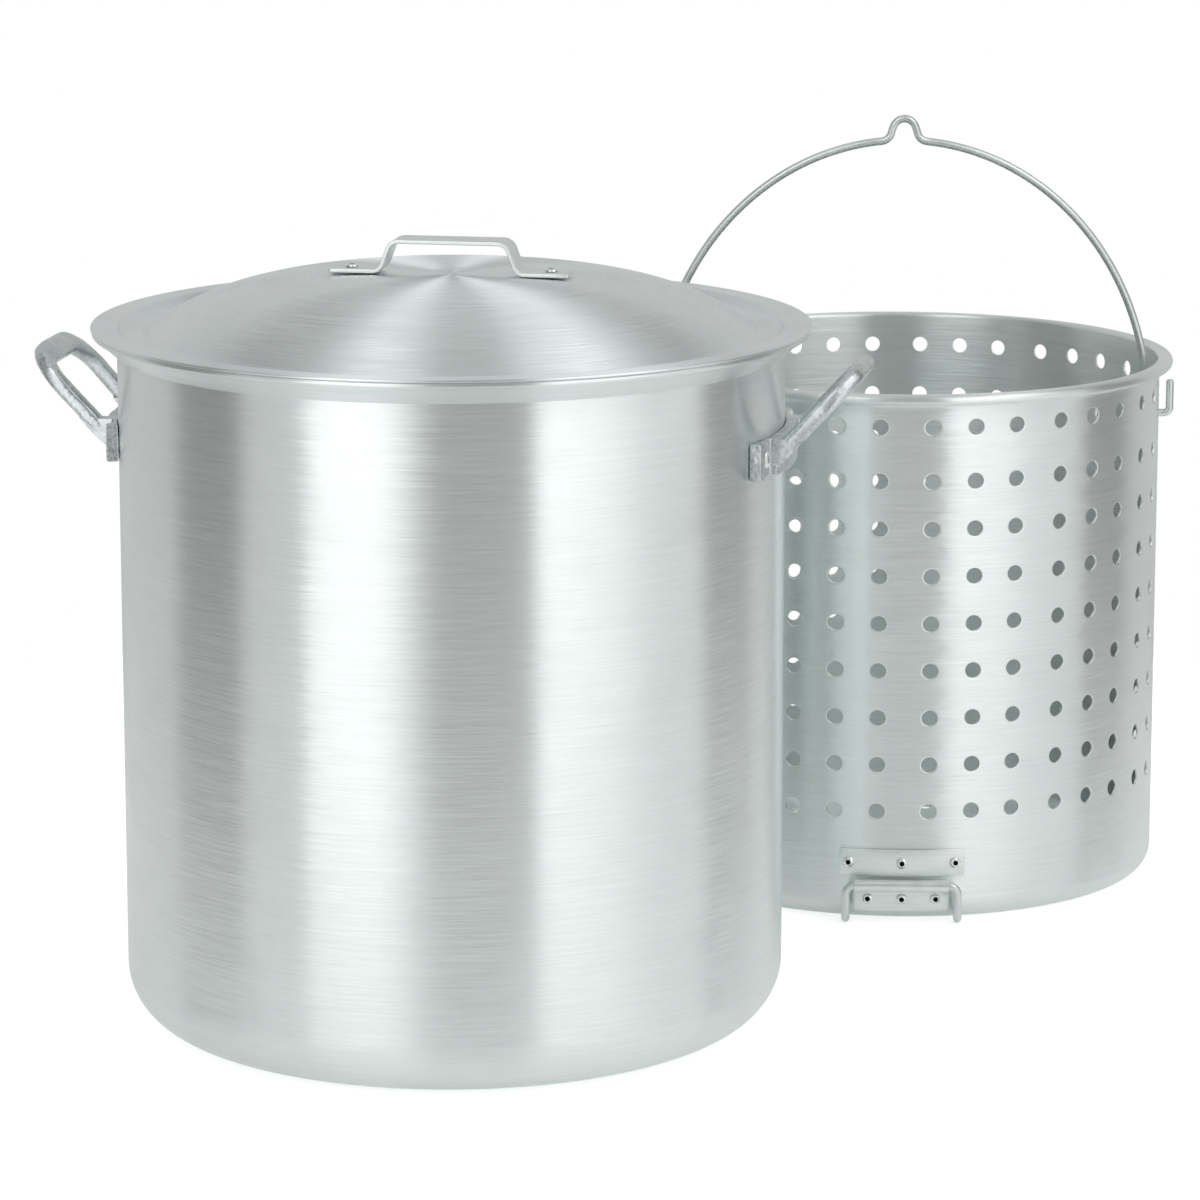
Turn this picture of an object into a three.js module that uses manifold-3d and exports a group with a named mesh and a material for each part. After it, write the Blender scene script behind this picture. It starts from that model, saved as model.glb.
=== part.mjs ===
// Brew kettle with its lid and strainer basket. Millimetres, +Z up.
// The origin is the centre of the kettle's base; +X runs through the right side handle.
import * as THREE from "three";
import { mergeVertices } from "three/addons/utils/BufferGeometryUtils.js";
import Module from "manifold-3d";

const wasm = await Module();
wasm.setup();

// ---- driving dimensions -------------------------------------------------------------------
const GAP = 0.35; // play between pieces that touch
const FACETS = 48; // sides of the kettle's and lid's round shapes

const KETTLE_R = 247; // outside of the wall
const KETTLE_WALL = 4;
const KETTLE_FLOOR = 5;
const KETTLE_CORNER = 46; // outside radius between wall and base
const FLARE_Z = 506; // where the wall starts to flare out to the rim
const RIM_R = 265.4;
const RIM_TOP = 525.6;

const LID_FLANGE_R = 266.4;
const LID_FLANGE_TOP = 528;
const LID_SHEET = 2;
const LID_RECESS_R = 245.6; // outer edge of the sunk ring
const LID_RECESS_TOP = 522;
const DOME_R = 227;
const DOME_RISE = 42;
const DOME_POWER = 4; // how flat the crown is

const STRAP_W = 28;
const STRAP_T = 3;
const STRAP_FOOT_END = 89;
const STRAP_FOOT_START = 57;
const STRAP_GRIP_HALF = 44;
const STRAP_RISE = 22.5;
const STRAP_RIVET_X = 75;

const PLATE_HALF_DEG = 18.5; // side handle's riveted plate
const PLATE_Z0 = 429;
const PLATE_Z1 = 457;
const PLATE_T = 9.5;
const HANDLE_RIVET_Z = (PLATE_Z0 + PLATE_Z1) / 2;
const GROOVE_DEG = [12, 16.3]; // thinned stretch that holds the rivet
const GROOVE_FLOOR = 4.5;
const HANDLE_RIVET_DEG = 13.9;
const HANDLE_SHANK_R = 2.1;
const LOOP_START_R = 254; // where the loop's centreline leaves the plate
const LOOP_START_Z = 446.5;
const LOOP_SLOPE_DEG = 47;
const LOOP_REACH = 82;
const LOOP_HALF_W = 56;
const LOOP_BASE_HALF_W = 53;
const LOOP_ARM = 13;
const LOOP_GRIP = 19;
const LOOP_T = 12.5;
const LOOP_CORNER = 36;
const LOOP_INNER_CORNER = 17;
const LOOP_BEVEL = 3.4;
const WEB_R = 253; // lower outer corner of the web between an arm and the plate
const WEB_Z = 438;

const BASKET_X = 274; // where the basket stands beside the kettle
const BASKET_Y = 520;
const BASKET_TURN = 8;
const BASKET_R = 213;
const BASKET_SHEET = 2;
const BASKET_H = 431;
const BASKET_CORNER = 18;
const BEAD_R = 4;
const BASKET_FACETS = 36; // one side for each column of holes
const HOLE_D = 12.7;
const HOLE_SIDES = 6;
const HOLE_GROUPS = 12;
const HOLE_STEP_DEG = 9.4; // between the three columns of a group
const HOLE_ROWS = 9;
const HOLE_TOP_Z = 404;
const HOLE_FIRST_STEP = 43.5;
const HOLE_ROW_STEP = 38.5;
const BASE_RINGS = [[60, 6], [112, 12], [164, 18]]; // radius and count of the drain holes

const BAIL_WIRE_R = 3.2;
const BAIL_PIVOT_Z = 381;
const BAIL_HALF_W = 204;
const BAIL_RISE = 226;
const BAIL_BEND = 4.6;
const BAIL_TIP_X = 222.4;
const BAIL_TIP_Z = 409;

const STOP_HALF_W = 50.5;
const STOP_Z = [37.5, 60];
const STOP_RIVET_X = [-42.5, 0, 42.5];
const HINGE_HALF_W = 38;
const HINGE_Z = [9, 34];
const HINGE_RIVET_X = [-27, 0, 27];
const HINGE_RIVET_Z = 19;
const BRACKET_SHEET = 1.6;
const HOOK_WIRE_R = 3;
const HOOK_AXIS_Y = 220.6; // in front of the basket's axis
const HOOK_AXIS_Z = 31.5;
const HOOK_HALF_W = 45;
const HOOK_FOOT_Z = 3.6;
const HOOK_TOE_Y = 207;
const BARREL_R = 5;

const ALUMINIUM = { color: 0xb9bcbd, roughness: 0.32, metalness: 1 };
const LID_METAL = { color: 0xbcc0c4, roughness: 0.3, metalness: 1 };
const CAST = { color: 0x9b9ea0, roughness: 0.55, metalness: 1 };
const WIRE = { color: 0xa9abac, roughness: 0.3, metalness: 1 };
const RIVET = { color: 0xaeb0b1, roughness: 0.38, metalness: 1 };
const PLATED = { color: 0xc3c5c6, roughness: 0.28, metalness: 1 };

const rad = THREE.MathUtils.degToRad;
const v2 = (x, y) => new THREE.Vector2(x, y);
const v3 = (x, y, z) => new THREE.Vector3(x, y, z);

// ---- solids -------------------------------------------------------------------------------
/** A closed three.js geometry as a manifold solid that faces outwards. */
function solid(geometry) {
  const bare = geometry.clone();
  bare.deleteAttribute("normal");
  bare.deleteAttribute("uv");
  const merged = mergeVertices(bare, 1e-4);
  const p = merged.attributes.position.array;
  const tri = Array.from(merged.index.array);
  const kept = [];
  let volume = 0;
  for (let i = 0; i < tri.length; i += 3) {
    const [a, b, c] = tri.slice(i, i + 3);
    if (a === b || b === c || a === c) continue;
    kept.push(a, b, c);
    const A = v3(p[3 * a], p[3 * a + 1], p[3 * a + 2]);
    const B = v3(p[3 * b], p[3 * b + 1], p[3 * b + 2]);
    const C = v3(p[3 * c], p[3 * c + 1], p[3 * c + 2]);
    volume += A.dot(B.cross(C));
  }
  if (volume < 0) kept.reverse();
  return new wasm.Manifold(
    new wasm.Mesh({ numProp: 3, vertProperties: new Float32Array(p), triVerts: new Uint32Array(kept) })
  );
}

/** A turned shape about +Z from [radius, height] points that start and end on the axis or close. */
function turned(points, facets = FACETS) {
  const lathe = new THREE.LatheGeometry(points.map(([r, z]) => v2(r, z)), facets);
  return solid(lathe.rotateX(Math.PI / 2));
}

function ring(r0, r1, z0, z1, facets = FACETS) {
  return turned([[r0, z0], [r1, z0], [r1, z1], [r0, z1], [r0, z0]], facets);
}

function box(x0, x1, y0, y1, z0, z1) {
  const g = new THREE.BoxGeometry(x1 - x0, y1 - y0, z1 - z0);
  return solid(g.translate((x0 + x1) / 2, (y0 + y1) / 2, (z0 + z1) / 2));
}

/** A flat outline in the X-Z plane, pushed from y0 to y1. */
function slab(points, y0, y1) {
  const shape = new THREE.Shape(points.map(([x, z]) => v2(x, z)));
  const g = new THREE.ExtrudeGeometry(shape, { depth: y1 - y0, bevelEnabled: false });
  return solid(g.rotateX(Math.PI / 2).translate(0, y1, 0));
}

/** A round bar along the outward radial direction at an angle (degrees from +X) and height. */
function radialPin(radius, r0, r1, deg, z, sides) {
  const g = new THREE.CylinderGeometry(radius, radius, r1 - r0, sides);
  g.rotateZ(Math.PI / 2);
  g.translate((r0 + r1) / 2, 0, z);
  return solid(g.rotateZ(rad(deg)));
}

/** Points of an arc in a plane, as [u, v] pairs, from one angle to another (degrees). */
function arc(cu, cv, r, a0, a1, steps) {
  const out = [];
  for (let i = 0; i <= steps; i += 1) {
    const a = rad(a0 + ((a1 - a0) * i) / steps);
    out.push([cu + r * Math.cos(a), cv + r * Math.sin(a)]);
  }
  return out;
}

/** A wire path that puts one cross-section at each listed point. */
class WirePath extends THREE.Curve {
  constructor(points) {
    super();
    this.points = points;
  }

  getPoint(t, target = new THREE.Vector3()) {
    const s = t * (this.points.length - 1);
    const i = Math.min(Math.floor(s), this.points.length - 2);
    return target.lerpVectors(this.points[i], this.points[i + 1], s - i);
  }

  getPointAt(u, target) {
    return this.getPoint(u, target);
  }

  getTangentAt(u, target = new THREE.Vector3()) {
    const last = this.points.length - 1;
    const i = Math.round(u * last);
    const before = this.points[Math.max(i - 1, 0)];
    const after = this.points[Math.min(i + 1, last)];
    return target.subVectors(after, before).normalize();
  }
}

function wire(points, radius, sides) {
  const round = arc(0, 0, radius, 0, 360, sides).slice(0, sides);
  const shape = new THREE.Shape(round.map(([x, y]) => v2(x, y)));
  const path = new WirePath(points);
  return solid(new THREE.ExtrudeGeometry(shape, { steps: points.length - 1, extrudePath: path }));
}

/** A rivet along the outward radial direction: head, shank, and a set end inside. */
function radialRivet(profile, sides, deg, z) {
  const lathe = new THREE.LatheGeometry(profile.map(([r, h]) => v2(r, h)), sides);
  return solid(lathe.rotateZ(-Math.PI / 2).translate(0, 0, z).rotateZ(rad(deg)));
}

const group = new THREE.Group();
group.name = "brew_kettle";

/** Adds one named piece to the object. */
function addPiece(name, shape, finish, place) {
  const mesh = shape.getMesh();
  const geometry = new THREE.BufferGeometry();
  const flat = new Float32Array(mesh.numVert * 3);
  for (let i = 0; i < mesh.numVert; i += 1) {
    for (let k = 0; k < 3; k += 1) flat[3 * i + k] = mesh.vertProperties[mesh.numProp * i + k];
  }
  geometry.setAttribute("position", new THREE.BufferAttribute(flat, 3));
  geometry.setIndex(new THREE.BufferAttribute(new Uint32Array(mesh.triVerts), 1));
  if (place) geometry.applyMatrix4(place);
  geometry.computeVertexNormals();
  const piece = new THREE.Mesh(geometry, new THREE.MeshStandardMaterial(finish));
  piece.name = name;
  group.add(piece);
}

// ---- kettle -------------------------------------------------------------------------------
const HANDLE_SIDES = [["right", 0], ["left", 180]];
const RIVET_SIDES = [["front", -1], ["back", 1]];

/** Outside of the wall below the rim, used to keep pieces clear of it. */
const kettleBlank = turned([[0, 300], [KETTLE_R + GAP, 300], [KETTLE_R + GAP, 505], [0, 505]]);

function kettleShell() {
  const inner = KETTLE_R - KETTLE_WALL;
  const corner = KETTLE_CORNER - KETTLE_WALL;
  const profile = [
    [0, 0],
    ...arc(KETTLE_R - KETTLE_CORNER, KETTLE_CORNER, KETTLE_CORNER, -90, 0, 6),
    [KETTLE_R, FLARE_Z],
    [249.6, 510],
    [254.6, 515.6],
    [260.4, 520.2],
    [264, 521.8],
    [RIM_R, 523.6],
    [264.4, RIM_TOP],
    [261.4, RIM_TOP],
    [257.6, 523.4],
    [251.6, 518.6],
    [246, 512.4],
    [inner, FLARE_Z],
    ...arc(inner - corner, KETTLE_FLOOR + corner, corner, 0, -90, 6),
    [0, KETTLE_FLOOR],
  ];
  let shell = turned(profile);
  for (const [, turn] of HANDLE_SIDES) {
    for (const [, s] of RIVET_SIDES) {
      shell = shell.subtract(
        radialPin(HANDLE_SHANK_R + GAP, 230, 260, turn + s * HANDLE_RIVET_DEG, HANDLE_RIVET_Z, 8)
      );
    }
  }
  return shell;
}

/** The cast handle on the +X side: curved plate, two gussets and a flattened loop. */
function sideHandle() {
  const far = 400;
  const wedge = (deg) => {
    const y = far * Math.tan(rad(deg));
    const shape = new THREE.Shape([v2(0, 0), v2(far, -y), v2(far, y)]);
    return solid(new THREE.ExtrudeGeometry(shape, { depth: 600, bevelEnabled: false }));
  };
  const face = KETTLE_R + PLATE_T;
  let plate = ring(KETTLE_R - 3, face, PLATE_Z0, PLATE_Z1).intersect(wedge(PLATE_HALF_DEG));
  const groove = ring(KETTLE_R + GROOVE_FLOOR, face + 20, PLATE_Z0 - 9, PLATE_Z1 + 9)
    .intersect(wedge(GROOVE_DEG[1]))
    .subtract(wedge(GROOVE_DEG[0]));
  plate = plate.subtract(groove);

  // the loop's outline in its own sloping plane: u along the slope, v across
  const uOut = LOOP_REACH - LOOP_CORNER;
  const vOut = LOOP_HALF_W - LOOP_CORNER;
  const uIn = LOOP_REACH - LOOP_GRIP - LOOP_INNER_CORNER;
  const vIn = LOOP_HALF_W - LOOP_ARM - LOOP_INNER_CORNER;
  const outline = [
    [-9, -LOOP_BASE_HALF_W],
    ...arc(uOut, -vOut, LOOP_CORNER, -90, -8, 6),
    ...arc(uOut, vOut, LOOP_CORNER, 8, 90, 6),
    [-9, LOOP_BASE_HALF_W],
    [-9, LOOP_BASE_HALF_W - LOOP_ARM],
    ...arc(uIn, vIn, LOOP_INNER_CORNER, 80, 8, 4),
    ...arc(uIn, -vIn, LOOP_INNER_CORNER, -8, -80, 4),
    [-9, LOOP_ARM - LOOP_BASE_HALF_W],
  ].map(([u, v]) => v2(u, v));
  const bevel = LOOP_BEVEL;
  const loopShape = new THREE.ExtrudeGeometry(new THREE.Shape(outline), {
    depth: LOOP_T - 2 * bevel,
    bevelEnabled: true,
    bevelThickness: bevel,
    bevelSize: bevel,
    bevelOffset: -bevel,
    bevelSegments: 3,
  });
  loopShape.translate(0, 0, -(LOOP_T - 2 * bevel) / 2);
  loopShape.rotateY(-rad(LOOP_SLOPE_DEG));
  loopShape.translate(LOOP_START_R, 0, LOOP_START_Z);
  let handle = plate.add(solid(loopShape));

  const webTop = PLATE_Z1 - 1;
  const run = (webTop - WEB_Z) / Math.tan(rad(LOOP_SLOPE_DEG));
  for (const s of [-1, 1]) {
    const a = s * LOOP_BASE_HALF_W;
    const b = s * (LOOP_BASE_HALF_W - LOOP_ARM);
    const web = [
      [240, WEB_Z],
      [WEB_R, WEB_Z],
      [WEB_R + run, webTop],
      [240, webTop],
    ];
    handle = handle.add(slab(web, Math.min(a, b), Math.max(a, b)));
    handle = handle.subtract(
      radialPin(HANDLE_SHANK_R + GAP, 230, 262, s * HANDLE_RIVET_DEG, HANDLE_RIVET_Z, 8)
    );
  }
  return handle.subtract(kettleBlank);
}

const HANDLE_RIVET = [
  [0, 239.6],
  [4.4, 240.6],
  [5.8, 242.3],
  [HANDLE_SHANK_R, 242.3],
  [HANDLE_SHANK_R, KETTLE_R + GROOVE_FLOOR + GAP],
  [6.6, KETTLE_R + GROOVE_FLOOR + GAP],
  [5.2, KETTLE_R + GROOVE_FLOOR + 2.4],
  [0, KETTLE_R + GROOVE_FLOOR + 3.6],
];

addPiece("kettle_shell", kettleShell(), ALUMINIUM);
for (const [side, turn] of HANDLE_SIDES) {
  const place = new THREE.Matrix4().makeRotationZ(rad(turn));
  addPiece(`side_handle_${side}`, sideHandle(), CAST, place);
  for (const [end, s] of RIVET_SIDES) {
    const pin = radialRivet(HANDLE_RIVET, 10, s * HANDLE_RIVET_DEG, HANDLE_RIVET_Z);
    addPiece(`handle_rivet_${side}_${end}`, pin, RIVET, place);
  }
}

// ---- lid ----------------------------------------------------------------------------------
const domeTop = (r) => LID_RECESS_TOP + DOME_RISE * (1 - (r / DOME_R) ** DOME_POWER);

function lidShell() {
  const radii = [60, 105, 140, 168, 190, 207, 219];
  const under = LID_FLANGE_TOP - LID_SHEET;
  const profile = [
    [0, domeTop(0)],
    ...radii.map((r) => [r, domeTop(r)]),
    [DOME_R + 1, LID_RECESS_TOP],
    [LID_RECESS_R - 3, LID_RECESS_TOP],
    [LID_RECESS_R, LID_FLANGE_TOP - 1.4],
    [LID_RECESS_R + 2, LID_FLANGE_TOP],
    [LID_FLANGE_R - 0.6, LID_FLANGE_TOP],
    [LID_FLANGE_R, LID_FLANGE_TOP - 0.7],
    [LID_FLANGE_R, under],
    [LID_RECESS_R + 2.6, under],
    [LID_RECESS_R - 1.2, LID_RECESS_TOP - LID_SHEET],
    [DOME_R, LID_RECESS_TOP - LID_SHEET],
    ...radii.map((r) => [r - 0.9, domeTop(r) - LID_SHEET]).reverse(),
    [0, domeTop(0) - LID_SHEET],
  ];
  let shell = turned(profile);
  for (const s of [-1, 1]) {
    const pin = new THREE.CylinderGeometry(3 + GAP, 3 + GAP, 40, 10);
    shell = shell.subtract(solid(pin.rotateX(Math.PI / 2).translate(s * STRAP_RIVET_X, 0, domeTop(0))));
  }
  return shell;
}

const STRAP_Z = domeTop(0) + GAP;

function lidStrap() {
  const z0 = STRAP_Z;
  const z1 = z0 + STRAP_RISE + STRAP_T;
  // one half of the strap's edge, from the foot's end to the middle of the grip
  const upper = [
    [STRAP_FOOT_END, z0 + 0.6],
    [STRAP_FOOT_END, z0 + STRAP_T - 0.6],
    [STRAP_FOOT_END - 0.8, z0 + STRAP_T],
    ...arc(STRAP_FOOT_START + 2, z0 + STRAP_T + 4, 4, -90, -152, 3),
    ...arc(STRAP_GRIP_HALF - 5, z1 - 7, 7, 28, 90, 3),
  ];
  const lower = [
    ...arc(STRAP_GRIP_HALF - 5, z1 - 7, 4, 90, 28, 3),
    ...arc(STRAP_FOOT_START + 2, z0 + STRAP_T + 4, 7, -152, -90, 3),
    [STRAP_FOOT_END - 0.6, z0],
  ];
  const mirror = (points) => points.map(([x, z]) => [-x, z]).reverse();
  const outline = [...upper, ...mirror(upper), ...mirror(lower), ...lower];
  let strap = slab(outline, -STRAP_W / 2, STRAP_W / 2);
  for (const s of [-1, 1]) {
    const pin = new THREE.CylinderGeometry(3 + GAP, 3 + GAP, 12, 10);
    strap = strap.subtract(solid(pin.rotateX(Math.PI / 2).translate(s * STRAP_RIVET_X, 0, z0)));
  }
  return strap;
}

function lidRivet() {
  const under = domeTop(STRAP_RIVET_X) - LID_SHEET - GAP - 0.2;
  const over = STRAP_Z + STRAP_T + GAP;
  return turned([
    [0, under - 2.2],
    [4.2, under - 1.8],
    [5.6, under],
    [3, under],
    [3, over],
    [7.4, over],
    [5.8, over + 1.9],
    [0, over + 2.9],
  ], 12);
}

addPiece("lid_shell", lidShell(), LID_METAL);
addPiece("lid_strap_handle", lidStrap(), PLATED);
for (const [side, s] of [["left", -1], ["right", 1]]) {
  const place = new THREE.Matrix4().makeTranslation(s * STRAP_RIVET_X, 0, 0);
  addPiece(`lid_rivet_${side}`, lidRivet(), RIVET, place);
}

// ---- basket, built about its own axis with its front at -Y -------------------------------
const basketPlace = new THREE.Matrix4()
  .makeTranslation(BASKET_X, BASKET_Y, 0)
  .multiply(new THREE.Matrix4().makeRotationZ(rad(BASKET_TURN)));
const FRONT_DEG = -90;
const STOP_MID_Z = (STOP_Z[0] + STOP_Z[1]) / 2;

/** Angles of the hole columns, in degrees from the basket's front. */
function holeColumns() {
  const out = [];
  for (let g = 0; g < HOLE_GROUPS; g += 1) {
    for (const k of [-1, 0, 1]) out.push(((g + 0.5) * 360) / HOLE_GROUPS + k * HOLE_STEP_DEG);
  }
  return out;
}

/** Angle (degrees from the front) of a point on the wall a distance x to the side. */
const sideAngle = (x) => THREE.MathUtils.radToDeg(Math.asin(x / BASKET_R));

function basketShell() {
  const inner = BASKET_R - BASKET_SHEET;
  const corner = BASKET_CORNER - BASKET_SHEET;
  const beadX = BASKET_R + 3 + BEAD_R;
  const beadZ = BASKET_H - BEAD_R;
  const profile = [
    [0, 0],
    ...arc(BASKET_R - BASKET_CORNER, BASKET_CORNER, BASKET_CORNER, -90, 0, 3),
    [BASKET_R, beadZ - 6],
    ...arc(beadX, beadZ, BEAD_R, -125, 90, 5),
    [inner + 3, BASKET_H],
    [inner, BASKET_H - 3],
    ...arc(inner - corner, BASKET_SHEET + corner, corner, 0, -90, 3),
    [0, BASKET_SHEET],
  ];
  let shell = turned(profile, BASKET_FACETS);
  const cutters = [];
  for (const deg of holeColumns()) {
    for (let row = 0; row < HOLE_ROWS; row += 1) {
      const drop = row === 0 ? 0 : HOLE_FIRST_STEP + (row - 1) * HOLE_ROW_STEP;
      cutters.push(
        radialPin(HOLE_D / 2, inner - 6, BASKET_R + 4, FRONT_DEG + deg, HOLE_TOP_Z - drop, HOLE_SIDES)
      );
    }
  }
  for (const [radius, count] of BASE_RINGS) {
    for (let i = 0; i < count; i += 1) {
      const pin = new THREE.CylinderGeometry(HOLE_D / 2, HOLE_D / 2, 12, HOLE_SIDES);
      pin.rotateX(Math.PI / 2).translate(radius, 0, 0).rotateZ(rad((i * 360) / count));
      cutters.push(solid(pin));
    }
  }
  for (const deg of [0, 180]) cutters.push(radialPin(BAIL_WIRE_R + GAP, 200, 225, deg, BAIL_PIVOT_Z, 12));
  for (const x of STOP_RIVET_X) {
    cutters.push(radialPin(2 + GAP, 200, 225, FRONT_DEG + sideAngle(x), STOP_MID_Z, 8));
  }
  for (const x of HINGE_RIVET_X) {
    cutters.push(radialPin(2 + GAP, 200, 225, FRONT_DEG + sideAngle(x), HINGE_RIVET_Z, 8));
  }
  return shell.subtract(wasm.Manifold.compose(cutters));
}

/** Curved sheet that lies on the basket's wall. */
function wallPlate(halfWidth, z0, z1) {
  const r = BASKET_R + GAP;
  return ring(r, r + BRACKET_SHEET, z0, z1, BASKET_FACETS).intersect(
    box(-halfWidth, halfWidth, -BASKET_R - 20, -BASKET_R + 40, z0 - 5, z1 + 5)
  );
}

function bored(shape, xs, z) {
  let out = shape;
  for (const x of xs) {
    out = out.subtract(radialPin(2 + GAP, 205, 230, FRONT_DEG + sideAngle(x), z, 8));
  }
  return out;
}

function hingePlate() {
  const barrel = new THREE.CylinderGeometry(BARREL_R, BARREL_R, 2 * HINGE_HALF_W, 16);
  const bore = new THREE.CylinderGeometry(HOOK_WIRE_R + GAP, HOOK_WIRE_R + GAP, 3 * HINGE_HALF_W, 12);
  for (const g of [barrel, bore]) g.rotateZ(Math.PI / 2).translate(0, -HOOK_AXIS_Y, HOOK_AXIS_Z);
  const backing = box(-HINGE_HALF_W, HINGE_HALF_W, -HOOK_AXIS_Y, -195, HOOK_AXIS_Z - 3.4, HOOK_AXIS_Z + 2.5)
    .subtract(turned([[0, 0], [BASKET_R + GAP, 0], [BASKET_R + GAP, 60], [0, 60]], BASKET_FACETS));
  const plate = wallPlate(HINGE_HALF_W, HINGE_Z[0], HINGE_Z[1]).add(backing).add(solid(barrel));
  return bored(plate.subtract(solid(bore)), HINGE_RIVET_X, HINGE_RIVET_Z);
}

// the middle of each of the wall's flat sides lies a little inside BASKET_R
const FLAT = BASKET_R * Math.cos(rad(180 / BASKET_FACETS));
/** A blind rivet through a plate and the basket's wall, with its hollow face. */
const BLIND_RIVET = [
  [0, FLAT - 6.4],
  [2.6, FLAT - 5.8],
  [3.2, FLAT - 3.4],
  [2, FLAT - 2.5],
  [2, BASKET_R + GAP + BRACKET_SHEET + GAP],
  [4.6, BASKET_R + GAP + BRACKET_SHEET + GAP],
  [3.4, BASKET_R + BRACKET_SHEET + 1.9],
  [1.3, BASKET_R + BRACKET_SHEET + 2.1],
  [1.1, BASKET_R + BRACKET_SHEET - 1],
  [0, BASKET_R + BRACKET_SHEET - 1],
];

function bailWire() {
  const b = BAIL_BEND;
  const inX = BAIL_HALF_W;
  const half = [
    [BAIL_TIP_X, BAIL_TIP_Z],
    ...arc(BAIL_TIP_X - b, BAIL_PIVOT_Z + b, b, 0, -90, 4),
    ...arc(inX + b, BAIL_PIVOT_Z + b, b, -90, -180, 4),
  ];
  for (let a = 6; a <= 84; a += 6) {
    half.push([BAIL_HALF_W * Math.cos(rad(a)), BAIL_PIVOT_Z + BAIL_RISE * Math.sin(rad(a))]);
  }
  half.push([14.5, 607.6], [11.6, 610.6], [10.2, 615], [8.2, 620], [4.6, 623.6]);
  const mirrored = half.map(([x, z]) => [-x, z]).reverse();
  const points = [...half, [0, 624.9], ...mirrored].map(([x, z]) => v3(x, 0, z));
  return wire(points, BAIL_WIRE_R, 8);
}

function hookWire() {
  const y = -HOOK_AXIS_Y;
  const bend = 7;
  const toe = 5;
  const half = [
    v3(HOOK_HALF_W, -HOOK_TOE_Y, HOOK_FOOT_Z),
    ...arc(y + toe, HOOK_FOOT_Z + toe, toe, -90, -180, 4).map(([u, v]) => v3(HOOK_HALF_W, u, v)),
    ...arc(HOOK_HALF_W - bend, HOOK_AXIS_Z - bend, bend, 0, 90, 4).map(([u, v]) => v3(u, y, v)),
  ];
  const mirrored = half.map((p) => v3(-p.x, p.y, p.z)).reverse();
  return wire([...half, ...mirrored], HOOK_WIRE_R, 8);
}

addPiece("basket_shell", basketShell(), ALUMINIUM, basketPlace);
addPiece("bail_wire", bailWire(), WIRE, basketPlace);
const stopPlate = bored(wallPlate(STOP_HALF_W, ...STOP_Z), STOP_RIVET_X, STOP_MID_Z);
addPiece("hook_stop_plate", stopPlate, PLATED, basketPlace);
addPiece("hook_hinge_plate", hingePlate(), PLATED, basketPlace);
addPiece("drain_hook_wire", hookWire(), WIRE, basketPlace);
const RIVET_ROWS = [["stop", STOP_RIVET_X, STOP_MID_Z], ["hinge", HINGE_RIVET_X, HINGE_RIVET_Z]];
for (const [row, xs, z] of RIVET_ROWS) {
  xs.forEach((x, i) => {
    const pin = radialRivet(BLIND_RIVET, 8, FRONT_DEG + sideAngle(x), z);
    addPiece(`${row}_plate_rivet_${i + 1}`, pin, RIVET, basketPlace);
  });
}

export default group;
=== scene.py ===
import math

import bmesh
import bpy
import numpy as np
from mathutils import Matrix, Vector, noise


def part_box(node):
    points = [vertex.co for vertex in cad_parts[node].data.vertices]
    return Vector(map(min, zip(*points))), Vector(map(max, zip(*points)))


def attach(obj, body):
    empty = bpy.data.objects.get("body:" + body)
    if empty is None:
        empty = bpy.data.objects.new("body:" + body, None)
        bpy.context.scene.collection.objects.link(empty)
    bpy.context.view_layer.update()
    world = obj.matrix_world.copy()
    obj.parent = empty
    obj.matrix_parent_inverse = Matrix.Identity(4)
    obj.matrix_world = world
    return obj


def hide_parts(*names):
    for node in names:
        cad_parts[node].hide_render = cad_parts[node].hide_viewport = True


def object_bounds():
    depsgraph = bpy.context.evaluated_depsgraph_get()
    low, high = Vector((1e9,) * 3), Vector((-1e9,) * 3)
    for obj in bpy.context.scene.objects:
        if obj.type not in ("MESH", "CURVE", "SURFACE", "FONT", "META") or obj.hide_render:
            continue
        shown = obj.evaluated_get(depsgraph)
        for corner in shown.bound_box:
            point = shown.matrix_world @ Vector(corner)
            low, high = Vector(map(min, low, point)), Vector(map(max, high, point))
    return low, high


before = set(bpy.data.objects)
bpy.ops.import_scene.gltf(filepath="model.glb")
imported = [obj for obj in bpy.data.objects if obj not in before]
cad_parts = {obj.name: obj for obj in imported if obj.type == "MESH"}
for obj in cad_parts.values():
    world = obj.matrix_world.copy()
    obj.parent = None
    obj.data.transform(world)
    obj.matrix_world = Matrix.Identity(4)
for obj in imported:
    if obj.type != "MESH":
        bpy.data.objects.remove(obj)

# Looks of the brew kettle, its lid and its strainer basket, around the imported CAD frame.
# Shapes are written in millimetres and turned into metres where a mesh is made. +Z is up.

CAD_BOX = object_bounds()
MM = 0.001

# ---- sizes in millimetres: most repeat the CAD source's, the rest differ by under 3 mm ---------
GAP = 0.35  # between touching pieces
TURNED_SIDES = 240  # round the kettle and the lid

KETTLE_R = 247.0
KETTLE_WALL = 4.0
KETTLE_FLOOR = 5.0
KETTLE_CORNER = 46.0
FLARE_Z = 506.0
CREASE_Z = 508.5  # where the flare visibly leaves the wall

LID_FLANGE_R = 266.4
LID_FLANGE_TOP = 528.0
LID_SHEET = 2.0
LID_RECESS_R = 245.6
LID_RECESS_TOP = 522.0
DOME_R = 227.0
DOME_RISE = 42.0
DOME_POWER = 4

STRAP_W = 28.0
STRAP_T = 3.0
STRAP_FOOT_END = 90.0
STRAP_FOOT_BEND_X = 57.3
STRAP_GRIP_BEND_X = 37.3
STRAP_RISE = 22.5
STRAP_LEAN = 21.0  # degrees between the legs and upright
STRAP_FOOT_BEND = 8.0  # radius of the strap's middle at each bend
STRAP_GRIP_BEND = 8.6
STRAP_RIVET_X = 75.0
HOLLOW_R = 1.7  # hollow in the blind rivets
STRAP_RIB = 0.3  # depth of two shallow grooves rolled along the strap
STRAP_RIB_AT = 5.5

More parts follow.
